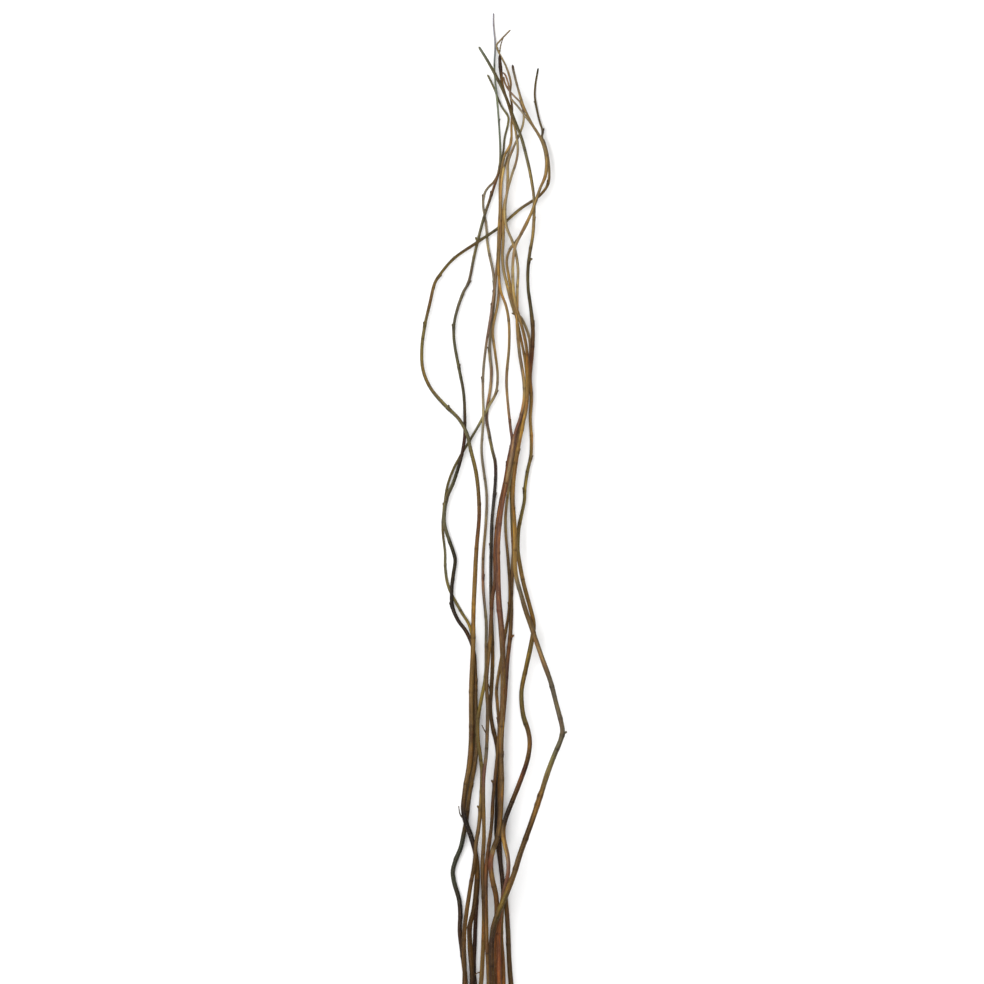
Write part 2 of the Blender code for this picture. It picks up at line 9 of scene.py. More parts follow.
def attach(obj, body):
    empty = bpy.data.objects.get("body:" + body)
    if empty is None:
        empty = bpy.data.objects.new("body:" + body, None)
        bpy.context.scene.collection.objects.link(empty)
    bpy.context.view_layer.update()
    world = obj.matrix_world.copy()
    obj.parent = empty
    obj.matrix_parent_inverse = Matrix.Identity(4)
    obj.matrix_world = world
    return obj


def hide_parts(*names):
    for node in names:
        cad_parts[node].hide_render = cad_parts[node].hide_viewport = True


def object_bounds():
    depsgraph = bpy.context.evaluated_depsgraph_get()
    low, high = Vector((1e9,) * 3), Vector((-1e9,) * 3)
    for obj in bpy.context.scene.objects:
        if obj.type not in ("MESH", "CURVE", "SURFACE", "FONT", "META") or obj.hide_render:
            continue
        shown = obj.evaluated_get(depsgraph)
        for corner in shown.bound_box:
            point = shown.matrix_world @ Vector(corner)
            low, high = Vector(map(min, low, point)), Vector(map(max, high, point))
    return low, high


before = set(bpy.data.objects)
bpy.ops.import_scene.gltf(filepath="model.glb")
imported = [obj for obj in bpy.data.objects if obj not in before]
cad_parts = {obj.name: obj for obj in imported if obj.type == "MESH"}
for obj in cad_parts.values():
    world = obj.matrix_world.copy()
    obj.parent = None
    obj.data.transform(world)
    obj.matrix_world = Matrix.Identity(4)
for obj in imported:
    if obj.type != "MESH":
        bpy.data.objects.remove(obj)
cad_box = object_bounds()

# Eleven long shoots of curly willow, cut and laid down as one loose bunch. Lengths are in
# millimetres, and turned into metres as each mesh is made. X runs across the bunch, Y from the cut
# butts to the tips, Z up from the table. The stems come in the order they lie, lowest first.

# stem_01: the lowest shoot, nearly straight, brown at its butt, near black in its middle and grey
# towards its tip. Like all of them it is a young shoot with its bark on, grown thicker at every
# leaf joint, with buds there, and cut square at the butt.
MM = 0.001
AROUND = 20  # corners in one ring of bark
RING_SPACING = 1.4
RAY_SPACING = 5.0  # between the rays that read a solid's height
MEAN_RAYS = 5  # rays in the moving mean of the heights
CUT_RINGS = (0.3, 0.65, 0.93)  # shares of the radius on a cut face, the last at the bark
BARK_EDGE = 0.3  # how far the bark's edge stands back from the cut face
TIP_LENGTH = 2.4  # of the rounded tip, in radii
SHARP_ANGLE = 48.0  # degrees past which an edge stays sharp
FIRST_JOINT = 18.0  # from the butt
LAST_JOINT = 14.0  # from the tip
JOINT_SPACING = (26.0, 62.0)  # between leaf joints, near the tip and near the butt
JOINT_TURN = 144.0  # degrees from one leaf joint to the next, two turns in five
JOINT_SWELL = 0.36
MARKED_SWELL = 0.62  # of the joints whose bud or stub shows in the photo
MARKED_ROOM = 9.0  # no other leaf joint stands nearer to a marked one
SIDE_BUD_CHANCE = 0.7  # that a leaf joint's bud is still there
SIDE_BUD_SIZE = (0.5, 0.75)
SIDE_BUD_REACH = 2.0  # beyond the bark
TABLE_ROOM = 1.0  # between a bud and the table
PATTERN_STEP = 17.3  # between the patterns of two stems
BUD_LENGTH = 4.6
BUD_RADIUS = 1.35
BUD_RISE = 1.5  # of a bud's point, away from the bark
STUB_LENGTH = 3.2  # beyond the bark
STUB_RADIUS = 1.5
BARK_COLOURS = {
    "black brown": "#1e130a",
    "charcoal": "#2c2723",
    "olive black": "#23200f",
    "dark umber": "#2f1c0b",
    "dark maroon": "#33190d",
    "umber": "#473110",
    "chestnut": "#5a381d",
    "maroon": "#5b3c2d",
    "rust": "#653a14",
    "red rust": "#66391e",
    "brown": "#5c4626",
    "olive brown": "#56471e",
    "slate brown": "#5a5140",
    "olive": "#5f5328",
    "dark olive": "#3f3c28",
    "green black": "#2e3024",
    "grey olive": "#57533a",
    "golden brown": "#6c5124",
    "gold": "#806433",
    "rosy tan": "#72594a",
    "tan": "#7a6642",
    "pale tan": "#8c7b58",
    "grey tan": "#796f5a",
    "grey green": "#687060",
    "pale grey": "#888fa0",
}


def rounded_line(bends, samples=24):
    """A line through the bends, rounded between them, as rows of (x, y, ...).

    Between two bends it is the centripetal Catmull-Rom curve: three straight blends, of those
    two more, of those one, with each bend's parameter growing by the root of its distance.
    """
    p = np.array(bends, float)
    p = np.vstack([2 * p[0] - p[1], p, 2 * p[-1] - p[-2]])
    a, b, c, d = p[:-3, None], p[1:-2, None], p[2:-1, None], p[3:, None]
    t1 = np.sqrt(np.linalg.norm(b - a, axis=-1, keepdims=True))
    t2 = t1 + np.sqrt(np.linalg.norm(c - b, axis=-1, keepdims=True))
    t3 = t2 + np.sqrt(np.linalg.norm(d - c, axis=-1, keepdims=True))
    t = t1 + (t2 - t1) * np.linspace(0, 1, samples, endpoint=False)[None, :, None]
    ab = (t1 - t) / t1 * a + t / t1 * b
    bc = (t2 - t) / (t2 - t1) * b + (t - t1) / (t2 - t1) * c
    cd = (t3 - t) / (t3 - t2) * c + (t - t2) / (t3 - t2) * d
    abc = (t2 - t) / t2 * ab + t / t2 * bc
    bcd = (t3 - t) / (t3 - t1) * bc + (t - t1) / (t3 - t1) * cd
    curve = (t2 - t) / (t2 - t1) * abc + (t - t1) / (t2 - t1) * bcd
    return np.vstack([curve.reshape(-1, p.shape[1]), p[-2]])


def run_along(line):
    """Distance along the line to each of its points."""
    return np.concatenate([[0.0], np.cumsum(np.linalg.norm(np.diff(line, axis=0), axis=1))])


def read_along(line, run, at):
    """The line's points at the given distances along it."""
    return np.column_stack([np.interp(at, run, column) for column in line.T])


def laid_heights(node, line, run, radius):
    """Height of the stem's heart, under the top of its solid in the frame.

    Rays go straight down on the solid along the line. A ray that misses, at an end, takes its
    neighbour's height, and a moving mean rounds the solid's straight stretches.
    """
    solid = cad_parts[node]
    tree = BVHTree.FromObject(solid, bpy.context.evaluated_depsgraph_get())
    at = np.linspace(0, run[-1], int(run[-1] / RAY_SPACING) + 1)
    places = read_along(line, run, at) * MM
    down = Vector((0, 0, -1))
    hits = [tree.ray_cast(Vector((x, y, 1.0)), down)[0] for x, y in places[:, :2]]
    found = np.array([hit is not None for hit in hits])
    top = np.array([hit.z for hit in hits if hit is not None]) / MM
    heart = np.interp(at, at[found], top - np.interp(at, run, radius)[found])
    padded = np.pad(heart, MEAN_RAYS // 2, mode="edge")
    mean = np.convolve(padded, np.ones(MEAN_RAYS) / MEAN_RAYS, mode="valid")
    return np.interp(run, at, mean)


def up_and_right(line):
    """Unit vectors up and right, square to the line, at each of its points."""
    ahead = np.gradient(line, axis=0)
    ahead /= np.linalg.norm(ahead, axis=1, keepdims=True)
    right = np.cross(ahead, (0.0, 0.0, 1.0))
    right /= np.linalg.norm(right, axis=1, keepdims=True)
    return np.cross(right, ahead), right


def rings(centres, up, right, reach):
    """Rings of corners: centre + reach * (cos(turn) * up + sin(turn) * right)."""
    turn = 2 * np.pi * np.arange(reach.shape[1]) / reach.shape[1]
    spoke = np.cos(turn)[None, :, None] * up[:, None] + np.sin(turn)[None, :, None] * right[:, None]
    return centres[:, None] + reach[:, :, None] * spoke


def shell(rows, along, scar=None, bud=0.0, wood_shares=()):
    """A closed surface over rings of corners, with a fan of triangles closing each end.

    Its UV is the share of a turn across and the distance along, in millimetres. wood_shares are
    the shares of the radius at which a cut face's rings lie, and there the UV is (share, 0).
    """
    count, around = rows.shape[:2]
    poles = np.stack([rows[0].mean(axis=0), rows[-1].mean(axis=0)])
    ring = np.arange(count * around).reshape(count, around)
    after = np.roll(ring, -1, axis=1)
    pole = np.full((2, around), [[count * around], [count * around + 1]])
    quads = np.stack([ring[:-1], after[:-1], after[1:], ring[1:]], axis=2)
    fans = np.stack([[pole[0], after[0], ring[0]], [pole[1], ring[-1], after[-1]]]).swapaxes(1, 2)

    distance = np.broadcast_to(along[:, None], (count, around))
    near = np.stack([np.broadcast_to(np.arange(around) / around, distance.shape), distance], axis=2)
    far = np.stack([np.broadcast_to(np.arange(1, around + 1) / around, distance.shape), distance],
                   axis=2)
    middle = (near + far) / 2
    quad_uv = np.stack([near[:-1], far[:-1], far[1:], near[1:]], axis=2)
    fan_uv = np.stack([[middle[0], far[0], near[0]], [middle[-1], near[-1], far[-1]]])
    fan_uv = fan_uv.swapaxes(1, 2)
    for band, (inner, outer) in enumerate(zip(wood_shares, wood_shares[1:])):
        quad_uv[band] = [(inner, 0), (inner, 0), (outer, 0), (outer, 0)]
    if wood_shares:
        fan_uv[0] = [(0, 0), (wood_shares[0], 0), (wood_shares[0], 0)]

    wood_bands = max(len(wood_shares) - 1, 0)
    scar = np.zeros((count, around)) if scar is None else scar
    return {
        "corners": np.vstack([rows.reshape(-1, 3), poles]),
        "quads": quads.reshape(-1, 4),
        "fans": fans.reshape(-1, 3),
        "quad_uv": quad_uv.reshape(-1, 2),
        "fan_uv": fan_uv.reshape(-1, 2),
        "quad_cut": np.repeat(np.arange(count - 1) < wood_bands, around),
        "fan_cut": np.repeat([bool(wood_shares), False], around),
        "scar": np.append(scar.reshape(-1), [0.0, 0.0]),
        "bud": np.full(count * around + 2, float(bud)),
    }


def joined_mesh(name, shells):
    """One mesh of many closed shells, with UV and the masks scar and bud on its corners."""
    starts = np.cumsum([0] + [len(s["corners"]) for s in shells[:-1]])
    corners = np.vstack([s["corners"] for s in shells]) * MM
    low, high = np.array(cad_box[0]), np.array(cad_box[1])
    corners = np.clip(corners, low, high)
    quads = np.vstack([s["quads"] + k for s, k in zip(shells, starts)])
    fans = np.vstack([s["fans"] + k for s, k in zip(shells, starts)])
    mesh = bpy.data.meshes.new(name)
    mesh.from_pydata(corners.tolist(), [], quads.tolist() + fans.tolist())
    uv = np.vstack([s["quad_uv"] for s in shells] + [s["fan_uv"] for s in shells])
    mesh.uv_layers.new(name="bark")
    mesh.uv_layers["bark"].uv.foreach_set("vector", uv.astype(np.float32).reshape(-1))
    cut = np.concatenate([s["quad_cut"] for s in shells] + [s["fan_cut"] for s in shells])
    mesh.polygons.foreach_set("material_index", cut.astype(np.int32))
    for mask in ("scar", "bud"):
        values = np.concatenate([s[mask] for s in shells]).astype(np.float32)
        mesh.attributes.new(mask, "FLOAT", "POINT").data.foreach_set("value", values)
    mesh.update()
    mesh.shade_smooth()
    mesh.set_sharp_from_angle(angle=math.radians(SHARP_ANGLE))
    return mesh


def slow_wave(random, at, longest, shortest, count):
    """A smooth wave of about unit size along the stem: sines of random length and phase."""
    lengths = random.uniform(shortest, longest, count)
    phases = random.uniform(0, 2 * np.pi, count)
    waves = np.sin(2 * np.pi * at[:, None] / lengths[None] + phases[None])
    return waves.sum(axis=1) / math.sqrt(count)


def leaf_joints(random, length):
    """Leaf joints along the stem: distance from the butt and degrees round from the top."""
    spread = np.linspace(JOINT_SPACING[1], JOINT_SPACING[0], 40)
    at = FIRST_JOINT + np.cumsum(spread * random.uniform(0.65, 1.35, 40))
    at = at[at < length - LAST_JOINT]
    turn = random.uniform(0, 360) + JOINT_TURN * np.arange(len(at))
    return at, turn + random.uniform(-20, 20, len(at))


def bark_relief(random, at, radius, joints, joint_turns, marked):
    """How far the bark stands off the plain round, and the scar mask, per ring and corner.

    Slow waves of thickness along the stem, flutes round it that drift as they run, and at each
    leaf joint a collar that is higher on the leaf's side, with a scar below its crest. Both are
    larger at the marked joints.
    """
    turn = 2 * np.pi * np.arange(AROUND) / AROUND
    reach = (0.022 * radius * slow_wave(random, at, 90, 24, 5))[:, None] + np.zeros(AROUND)
    for flutes, depth in ((2, 0.030), (3, 0.024), (5, 0.016), (7, 0.010)):
        drift = random.uniform(0, 6) + 0.9 * slow_wave(random, at, 160, 50, 3)
        strength = depth * (1 + 0.5 * slow_wave(random, at, 70, 20, 3)) * radius
        reach += strength[:, None] * np.cos(flutes * turn[None] + drift[:, None])
    apart = at[:, None] - joints[None]
    side = np.cos(turn[:, None] - np.radians(joint_turns)[None]).clip(0, 1) ** 2
    size = np.where(marked, MARKED_SWELL, JOINT_SWELL) * np.interp(joints, at, radius) / 2.5
    collar = np.exp(-((apart / np.where(marked, 3.2, 2.6)) ** 2)) * size
    reach += collar @ (0.35 + 0.65 * side).T
    scar = np.exp(-(((apart + 0.8) / np.where(marked, 2.6, 1.2)) ** 2)) @ (0.4 + 0.6 * side).T
    return reach, scar.clip(0, 1)


def spur_shell(root, ahead, out, stem_radius, kind, place, size=1.0):
    """A bud pressed to the bark, or a blunt stub, as rings along a short axis.

    A bud's axis runs ahead from just under the bark while it rises a little. It swells, then
    narrows to a blunt point. A stub's axis leans away from the stem's heart, and its end is
    rounded.
    """
    if kind == "stub":
        share = np.array([0, 0.3, 0.6, 0.8, 0.92, 0.98, 1.0])
        lean = np.radians(np.interp(share, [0, 1], [34, 50]))
        way = np.cos(lean)[:, None] * out + np.sin(lean)[:, None] * ahead
        length = stem_radius * 1.3 + size * STUB_LENGTH
        centres = root + np.cumsum(way * np.diff(share, prepend=0)[:, None] * length, axis=0)
        width = STUB_RADIUS * size * np.array([1.3, 1.15, 1.05, 1.0, 0.92, 0.7, 0.32])
    else:
        share = np.linspace(0, 1, 9)
        length = size * BUD_LENGTH
        rise = size * BUD_RISE * share ** 1.4
        centres = root + (share * length)[:, None] * ahead
        centres = centres + (0.62 * stem_radius + rise)[:, None] * out
        way = np.gradient(centres, axis=0)
        way /= np.linalg.norm(way, axis=1, keepdims=True)
        swell = np.interp(share, [0, 0.2, 0.45, 0.7, 0.88, 1], [0.3, 0.85, 1.0, 0.85, 0.55, 0.16])
        width = BUD_RADIUS * size * swell
    right = np.cross(way, out)
    right /= np.linalg.norm(right, axis=1, keepdims=True)
    up = np.cross(right, way)
    turn = 2 * np.pi * np.arange(10) / 10
    oval = 1 - 0.14 * np.cos(turn) ** 2
    rows = rings(centres, up, right, width[:, None] * oval[None])
    return shell(rows, place + share * length, bud=0.15 if kind == "stub" else 1.0)


def twig_shell(line, place):
    """A thin side twig: rings along its line, from 1 mm radius down to a rounded tip."""
    run = run_along(line)
    at = np.append(np.linspace(0, run[-1] - 0.5, 14), [run[-1] - 0.2, run[-1]])
    centres = read_along(line, run, at)
    up, right = up_and_right(centres)
    width = np.interp(at, [0, run[-1]], [1.05, 0.6]) * np.append(np.ones(14), [0.75, 0.3])
    width *= 1 + 0.12 * np.cos(at * 1.7)
    return shell(rings(centres, up, right, width[:, None] * np.ones(10)), place + at, bud=0.8)


def put(tree, kind, inputs=None, **settings):
    """A new shader node with its settings and inputs, which are values or other nodes' sockets."""
    made = tree.nodes.new(kind)
    for key, value in settings.items():
        setattr(made, key, value)
    for key, value in (inputs or {}).items():
        if isinstance(value, bpy.types.NodeSocket):
            tree.links.new(value, made.inputs[key])
        else:
            made.inputs[key].default_value = value
    return made


def sums(tree, operation, *values):
    """The output of a Math node on the values."""
    return put(tree, "ShaderNodeMath", dict(enumerate(values)), operation=operation).outputs[0]


def blended(tree, share, first, second, kind="MIX"):
    """The output of a colour Mix node."""
    mix = put(tree, "ShaderNodeMix", {0: share, 6: first, 7: second}, data_type="RGBA",
              blend_type=kind)
    return mix.outputs[2]


def ramped(tree, value, low, high, to_low=0.0, to_high=1.0):
    """The value's range from low to high spread smoothly over to_low to to_high."""
    made = put(tree, "ShaderNodeMapRange",
               {0: value, 1: low, 2: high, 3: to_low, 4: to_high}, interpolation_type="SMOOTHSTEP")
    return made.outputs[0]


def linear(colour):
    """A colour written as #rrggbb, as the linear numbers that a shader takes."""
    parts = np.array([int(colour[k:k + 2], 16) for k in (1, 3, 5)]) / 255
    return (*np.where(parts <= 0.04045, parts / 12.92, ((parts + 0.055) / 1.055) ** 2.4), 1.0)


def bark_group():
    """The bark of a young shoot, round any stem: lighter streaks along it, partly painted
    highlight, wrinkles with painted shade in their grooves, painted shade on one side, blotches,
    pale breathing pores, a dark scar at each leaf joint, and browner buds.

    Its patterns are noise on (cos, sin, distance along), so they close round the stem.
    """
    group = bpy.data.node_groups.new("willow bark", "ShaderNodeTree")
    for name, kind in (("Bark", "Color"), ("Turn", "Float"), ("Along", "Float"),
                       ("Scar", "Float"), ("Bud", "Float"), ("Place", "Float")):
        group.interface.new_socket(name=name, in_out="INPUT", socket_type="NodeSocket" + kind)
    for name, kind in (("Color", "Color"), ("Roughness", "Float"), ("Height", "Float")):
        group.interface.new_socket(name=name, in_out="OUTPUT", socket_type="NodeSocket" + kind)
    given = put(group, "NodeGroupInput").outputs
    angle = sums(group, "MULTIPLY", given["Turn"], 2 * math.pi)
    cosine, sine = sums(group, "COSINE", angle), sums(group, "SINE", angle)

    def place(across, stretch, offset):
        x = sums(group, "MULTIPLY", cosine, across)
        y = sums(group, "MULTIPLY", sine, across)
        z = sums(group, "MULTIPLY_ADD", given["Along"], 1 / stretch, offset)
        z = sums(group, "ADD", z, given["Place"])
        return put(group, "ShaderNodeCombineXYZ", {0: x, 1: y, 2: z}).outputs[0]

    def noise(across, stretch, offset, detail):
        return put(group, "ShaderNodeTexNoise",
                   {"Vector": place(across, stretch, offset), "Scale": 1.0, "Detail": detail,
                    "Roughness": 0.6}).outputs["Fac"]

    # A mask for painted shade: one side of each stem is darkened as if turned away from the light.
    sides = noise(0.9, 75.0, 1.9, 1.0)
    # Lighter bark streaks, partly the bark's own colour and partly painted highlight along their
    # raised tops.
    streaks_and_painted_highlights = noise(1.5, 24.0, 3.1, 3.0)
    wrinkles = noise(5.0, 5.0, 7.7, 4.0)
    blotches = noise(0.5, 26.0, 11.3, 2.0)
    golden = noise(0.4, 38.0, 21.7, 2.0)
    pores = put(group, "ShaderNodeTexVoronoi",
                {"Vector": place(2.4, 2.6, 5.5), "Scale": 1.0}).outputs["Distance"]
    pores = ramped(group, pores, 0.10, 0.20, 1.0, 0.0)

    colour = given["Bark"]
    for mask, low, high, most, tint in (
        (sides, 0.40, 0.58, 0.75, (0.54, 0.51, 0.52, 1)),  # painted shade: one side of the stem darker, as if in shadow
        (golden, 0.50, 0.64, 0.8, (1.75, 1.62, 1.0, 1)),
        (blotches, 0.50, 0.66, 0.8, (0.95, 0.70, 0.60, 1)),  # reddish
        (streaks_and_painted_highlights, 0.50, 0.70, 0.7, (1.85, 1.75, 1.45, 1)),  # lighter streaks, partly the bark's own colour, partly painted highlight on their raised tops
    ):
        tinted = blended(group, 1.0, colour, tint, "MULTIPLY")
        colour = blended(group, ramped(group, mask, low, high, 0.0, most), colour, tinted)
    # Painted shade: the wrinkles' grooves, where the bump is low, are darkened, and their ridges a
    # little lightened.
    dark = ramped(group, wrinkles, 0.34, 0.60, 0.62, 1.06)
    grey = put(group, "ShaderNodeCombineColor", {0: dark, 1: dark, 2: dark}).outputs[0]
    colour = blended(group, 1.0, colour, grey, "MULTIPLY")
    pale = sums(group, "MULTIPLY", pores, 0.5)
    colour = blended(group, pale, colour, (0.36, 0.28, 0.18, 1))
    scarred = blended(group, 1.0, colour, (0.26, 0.20, 0.16, 1), "MULTIPLY")
    colour = blended(group, sums(group, "MULTIPLY", given["Scar"], 0.9), colour, scarred)
    browner = blended(group, 0.65, colour, (0.050, 0.030, 0.018, 1))
    colour = blended(group, given["Bud"], colour, browner)

    roughness = ramped(group, wrinkles, 0.3, 0.7, 0.66, 0.5)
    height = sums(group, "ADD", sums(group, "MULTIPLY", streaks_and_painted_highlights, 0.6),
                  sums(group, "MULTIPLY", wrinkles, 0.7))
    height = sums(group, "ADD", height, sums(group, "MULTIPLY", pores, 0.35))
    put(group, "NodeGroupOutput", {"Color": colour, "Roughness": roughness, "Height": height})
    return group


def bark_material(name, tones, line, run, seed):
    """Bark whose colour changes along the stem through tones, (y, colour) from butt to tip."""
    material = bpy.data.materials.new(name)
    material.use_nodes = True
    tree = material.node_tree
    shader = tree.nodes["Principled BSDF"]
    uv = put(tree, "ShaderNodeUVMap", uv_map="bark").outputs[0]
    split = put(tree, "ShaderNodeSeparateXYZ", {0: uv}).outputs
    ramp = put(tree, "ShaderNodeValToRGB", {0: sums(tree, "DIVIDE", split[1], run[-1])})
    stops = ramp.color_ramp.elements
    for number, (y, colour) in enumerate(tones):
        share = float(np.interp(y, line[:, 1], run)) / run[-1]
        stop = stops[number] if number < 2 else stops.new(share)
        stop.position, stop.color = share, linear(BARK_COLOURS[colour])
    bark = put(tree, "ShaderNodeGroup", {
        "Bark": ramp.outputs[0], "Turn": split[0], "Along": split[1],
        "Scar": put(tree, "ShaderNodeAttribute", attribute_name="scar").outputs["Fac"],
        "Bud": put(tree, "ShaderNodeAttribute", attribute_name="bud").outputs["Fac"],
        "Place": seed * PATTERN_STEP,
    }, node_tree=WILLOW_BARK)
    tree.links.new(bark.outputs["Color"], shader.inputs["Base Color"])
    tree.links.new(bark.outputs["Roughness"], shader.inputs["Roughness"])
    bump = put(tree, "ShaderNodeBump", {"Height": bark.outputs["Height"], "Distance": 0.00022,
                                        "Strength": 0.8})
    tree.links.new(bump.outputs[0], shader.inputs["Normal"])
    shader.inputs["Specular IOR Level"].default_value = 0.15
    return material


def cut_wood_material():
    """The pale wood of a cut face: growth rings, and a brown pith at its heart."""
    material = bpy.data.materials.new("cut willow wood")
    material.use_nodes = True
    tree = material.node_tree
    shader = tree.nodes["Principled BSDF"]
    uv = put(tree, "ShaderNodeUVMap", uv_map="bark").outputs[0]
    share = put(tree, "ShaderNodeSeparateXYZ", {0: uv}).outputs[0]
    ring = sums(tree, "SINE", sums(tree, "MULTIPLY", share, 19.0))
    wood = blended(tree, ramped(tree, ring, -1.0, 1.0, 0.0, 0.5), linear("#cdb68c"),
                   linear("#a88f62"))
    wood = blended(tree, ramped(tree, share, 0.12, 0.24, 1.0, 0.0), wood, linear("#6b4a2c"))
    tree.links.new(wood, shader.inputs["Base Color"])
    shader.inputs["Roughness"].default_value = 0.78
    return material


WILLOW_BARK = bark_group()
CUT_WOOD = cut_wood_material()


def nearest(line, x, y):
    """Number of the line's point that is nearest to (x, y), seen from above."""
    return np.hypot(line[:, 0] - x, line[:, 1] - y).argmin()


def make_stem(node, seed, bends, girth, tones, spurs=(), twigs=()):
    """A whole shoot in place of its solid: bark, cut butt, rounded tip, buds, stubs and twigs.

    bends are its centre line (x, y) from butt to tip, girth (y, diameter), spurs (kind, x, y,
    degrees round from the top, to the right) and twigs (bends, rise of the tip).
    """
    random = np.random.default_rng(seed)
    line = rounded_line(bends)
    run = run_along(line)
    ys, diameters = np.array(girth, float).T
    radius = np.interp(line[:, 1], ys, diameters) / 2
    line = np.column_stack([line, laid_heights(node, line, run, radius)])

    tip = TIP_LENGTH * radius[-1]
    dome = np.radians([0, 18, 36, 52, 66, 78, 86])
    body = np.linspace(0, run[-1] - tip, int((run[-1] - tip) / RING_SPACING))[1:-1]
    cut = np.zeros(len(CUT_RINGS))
    at = np.concatenate([cut, [BARK_EDGE], body, run[-1] - tip + tip * np.sin(dome)])
    share = np.concatenate([CUT_RINGS, [1.0], np.ones(len(body)), np.cos(dome)])
    coarse = np.linspace(0, run[-1], int(run[-1] / 2))
    sides = up_and_right(read_along(line, run, coarse))
    up, right = [read_along(side, coarse, at) for side in sides]
    wide = np.interp(at, run, radius)

    marked = np.array([run[nearest(line, x, y)] for _, x, y, _ in spurs])
    joints, joint_turns = leaf_joints(random, run[-1])
    apart = np.abs(joints[:, None] - marked[None]).min(axis=1) > MARKED_ROOM
    joints, joint_turns = joints[apart], joint_turns[apart]
    relief, scar = bark_relief(
        random, at, wide, np.append(joints, marked),
        np.append(joint_turns, [turn for *_, turn in spurs]),
        np.arange(len(joints) + len(marked)) >= len(joints))
    relief *= np.interp(at, [0, 6], [0.3, 1])[:, None]  # plainer towards the cut
    reach = share[:, None] * (wide[:, None] + relief)
    shells = [shell(rings(read_along(line, run, at), up, right, reach), at, scar,
                    wood_shares=[ring / CUT_RINGS[-1] for ring in CUT_RINGS])]

    def on_bark(place, turn):
        """The stem's heart at a place, unit vectors ahead and out to a turn, and its radius."""
        heart, before, after = read_along(line, run, [place, place - 1, place + 1])
        ahead = (after - before) / np.linalg.norm(after - before)
        across = np.cross(ahead, [0, 0, 1])
        across /= np.linalg.norm(across)
        angle = math.radians(turn)
        out = math.cos(angle) * np.cross(across, ahead) + math.sin(angle) * across
        return heart, ahead, out, float(np.interp(place, run, radius))

    for place, (kind, _, _, turn) in zip(marked, spurs):
        inside = min(max(place, 2), run[-1] - 2)
        shells.append(spur_shell(*on_bark(inside, turn), kind, place))
    for place, turn in zip(joints, joint_turns):
        heart, ahead, out, thick = on_bark(place, turn)
        size = random.uniform(*SIDE_BUD_SIZE)
        is_clear = heart[2] + out[2] * (thick + SIDE_BUD_REACH) > TABLE_ROOM
        if random.random() < SIDE_BUD_CHANCE and is_clear:
            shells.append(spur_shell(heart, ahead, out, thick, "bud", place, size))
    for twig_bends, rise in twigs:
        twig = rounded_line(twig_bends, 8)
        start = nearest(line, *twig[0])
        lift = line[start, 2] + rise * np.linspace(0, 1, len(twig)) ** 1.5
        twig = np.column_stack([twig, lift])
        twig[0] = line[start]
        shells.append(twig_shell(twig, run[start]))

    name = node + "_willow"
    stem = bpy.data.objects.new(name, joined_mesh(name, shells))
    bpy.context.scene.collection.objects.link(stem)
    stem.data.materials.append(bark_material(node + " bark", tones, line, run, seed))
    stem.data.materials.append(CUT_WOOD)
    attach(stem, "root")
    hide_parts(node)


make_stem(
    "stem_01", seed=1,
    bends=[
        (25, -616), (20.5, -560), (18.7, -518), (16.3, -485), (12, -456), (9.3, -434), (5.4, -409),
        (4, -395), (5.2, -355), (6.2, -318), (4.8, -288), (-0.5, -264), (-3.4, -240), (-1.7, -212),
        (-0.4, -170), (-2.2, -120), (-2.7, -80), (-2.3, -40), (-1.1, -3), (1.5, 25), (3.2, 52),
        (2.5, 68), (-1.2, 83), (-5, 103), (-8, 121), (-7, 136), (-3.5, 158), (-2, 180),
        (-4.3, 210), (-1.5, 242), (1.7, 277), (0.3, 303), (-6.5, 338), (-8.7, 365), (-12.5, 388),
        (-12, 398), (-9.7, 406), (-5.5, 412), (1, 418.5), (8.8, 434), (13, 458), (14.5, 473),
        (18.5, 490), (19, 499), (10, 514), (1.5, 535), (-7, 552.5),
    ],
    girth=[
        (-600, 6), (-430, 5.4), (-260, 4.8), (-120, 4.2), (0, 3.9), (150, 3.8), (290, 3.5),
        (365, 2.9), (552, 2.4),
    ],
    tones=[
        (-600, "umber"), (-545, "brown"), (-470, "brown"), (-430, "umber"), (-400, "black brown"),
        (-330, "black brown"), (-260, "umber"), (-200, "brown"), (-120, "umber"),
        (-70, "charcoal"), (0, "charcoal"), (45, "charcoal"), (62, "dark maroon"),
        (80, "grey olive"), (100, "slate brown"), (130, "rosy tan"), (200, "grey tan"),
        (400, "grey tan"), (490, "grey olive"), (552, "grey olive"),
    ],
    spurs=[
        ("bud", -12, 398, -80), ("bud", 2, 278, -70), ("bud", -4, 208, -75), ("bud", 1.5, 25, 80),
        ("bud", -2.3, -38, -70), ("bud", 3, -270, 60),
    ],
    twigs=[
        ([(-3.2, -222), (-5, -213), (-8, -206)], 3),
    ],
)

